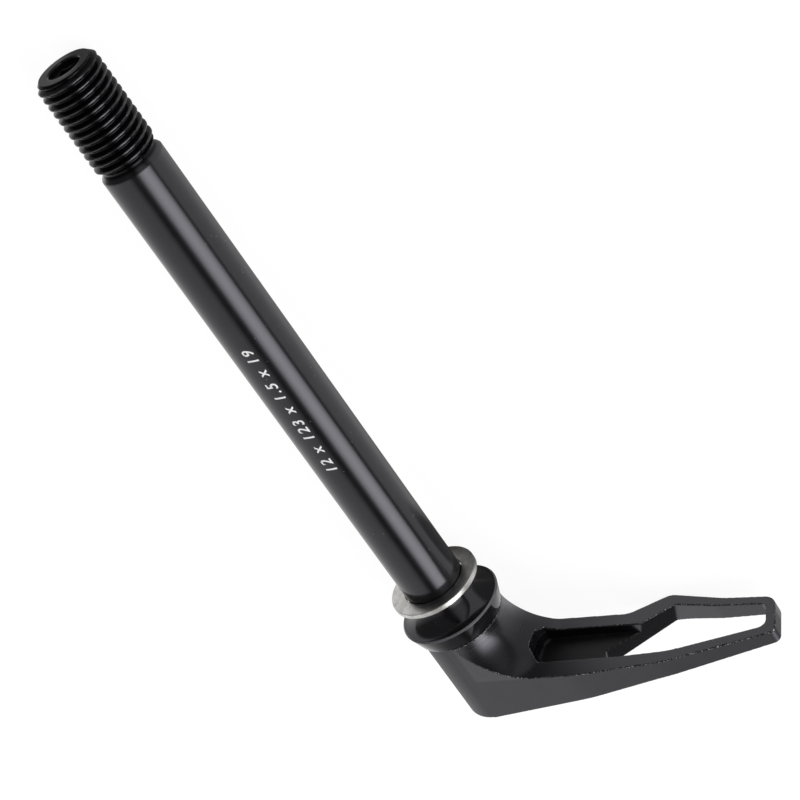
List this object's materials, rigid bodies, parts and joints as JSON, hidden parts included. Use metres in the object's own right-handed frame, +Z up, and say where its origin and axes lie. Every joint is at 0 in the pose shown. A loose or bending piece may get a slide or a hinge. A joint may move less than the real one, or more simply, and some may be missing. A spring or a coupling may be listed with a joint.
{
  "type": "bicycle thru axle",
  "caption": "Threaded hollow axle for a bicycle wheel, with a bell-shaped head, a loose washer and a spring-loaded lever that pulls out to be re-set.",
  "frame": {"origin": "centre of the shaft at the washer's bearing face", "axes": "+X along the shaft towards the threaded tip; the lever's arm points along -Y; +Z is up as it lies"},
  "size_m": [0.1522, 0.0742, 0.0204],
  "materials": {
    "black_anodised": "satin black anodised",
    "lever_black": "fine blasted black anodised",
    "washer_steel": "tumbled plain steel",
    "hardened_steel": "turned",
    "spring_steel": "drawn wire",
    "black_steel": "black oxide"
  },
  "bodies": {
    "axle_body": {"axle": "black_anodised", "washer": "washer_steel", "spring": "spring_steel", "spring_seat": "hardened_steel", "retaining_screw": "black_steel"},
    "lever_body": {"lever": "lever_black", "toothed_ring": "hardened_steel"}
  },
  "joints": [
    {"name": "lever_pull", "type": "slide", "parent": "axle_body", "child": "lever_body", "axis": [-1, 0, 0], "range_m": [0, 0.0042], "stiffness_N_per_m": 1500, "springref_m": -0.002, "deforming": ["spring"]}
  ]
}
